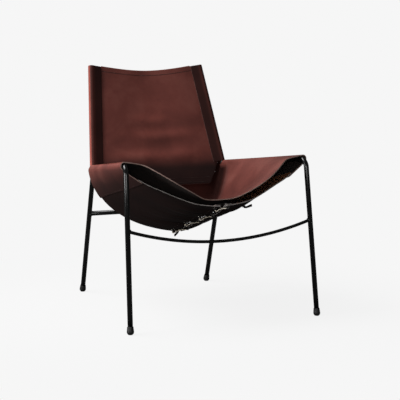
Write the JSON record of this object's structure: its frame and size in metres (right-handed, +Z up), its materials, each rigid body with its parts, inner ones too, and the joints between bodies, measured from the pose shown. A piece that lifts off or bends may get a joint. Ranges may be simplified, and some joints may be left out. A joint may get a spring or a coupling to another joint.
{
  "type": "leather sling lounge chair",
  "caption": "Low lounge chair: a thick leather sling seat laced under a slim welded frame of bent steel tube, with a leather back sewn into sleeves on the uprights.",
  "frame": {"origin": "on the floor, under the middle of the chair's bounding box", "axes": "+Z up, -Y the way the sitter faces, X = 0 the chair's middle plane; left is -X and right is +X, as seen from in front of the chair"},
  "size_m": [0.6548, 0.6936, 0.7864],
  "materials": {
    "black_steel": "satin",
    "black_rubber": "matte",
    "black_plastic": "matte",
    "brown_leather": "satin",
    "dark_leather": "satin",
    "nickel": "satin",
    "lace_leather": "matte"
  },
  "bodies": {
    "root": {"left_front_leg_and_rail": "black_steel", "left_rear_leg_and_upright": "black_steel", "left_upright_plug": "black_plastic", "front_left_foot_cap": "black_rubber", "rear_left_foot_cap": "black_rubber", "right_front_leg_and_rail": "black_steel", "right_rear_leg_and_upright": "black_steel", "right_upright_plug": "black_plastic", "front_right_foot_cap": "black_rubber", "rear_right_foot_cap": "black_rubber", "front_stretcher": "black_steel", "rear_stretcher": "black_steel", "seat_panel": "brown_leather", "back_panel": "brown_leather", "left_back_sleeve": "dark_leather", "left_under_panel": "brown_leather", "left_eyelet_strip": "dark_leather", "left_eyelet_1": "nickel", "left_eyelet_2": "nickel", "left_eyelet_3": "nickel", "left_eyelet_4": "nickel", "right_back_sleeve": "dark_leather", "right_under_panel": "brown_leather", "right_eyelet_strip": "dark_leather", "right_eyelet_1": "nickel", "right_eyelet_2": "nickel", "right_eyelet_3": "nickel", "right_eyelet_4": "nickel", "right_eyelet_5": "nickel", "lace": "lace_leather"}
  },
  "joints": []
}
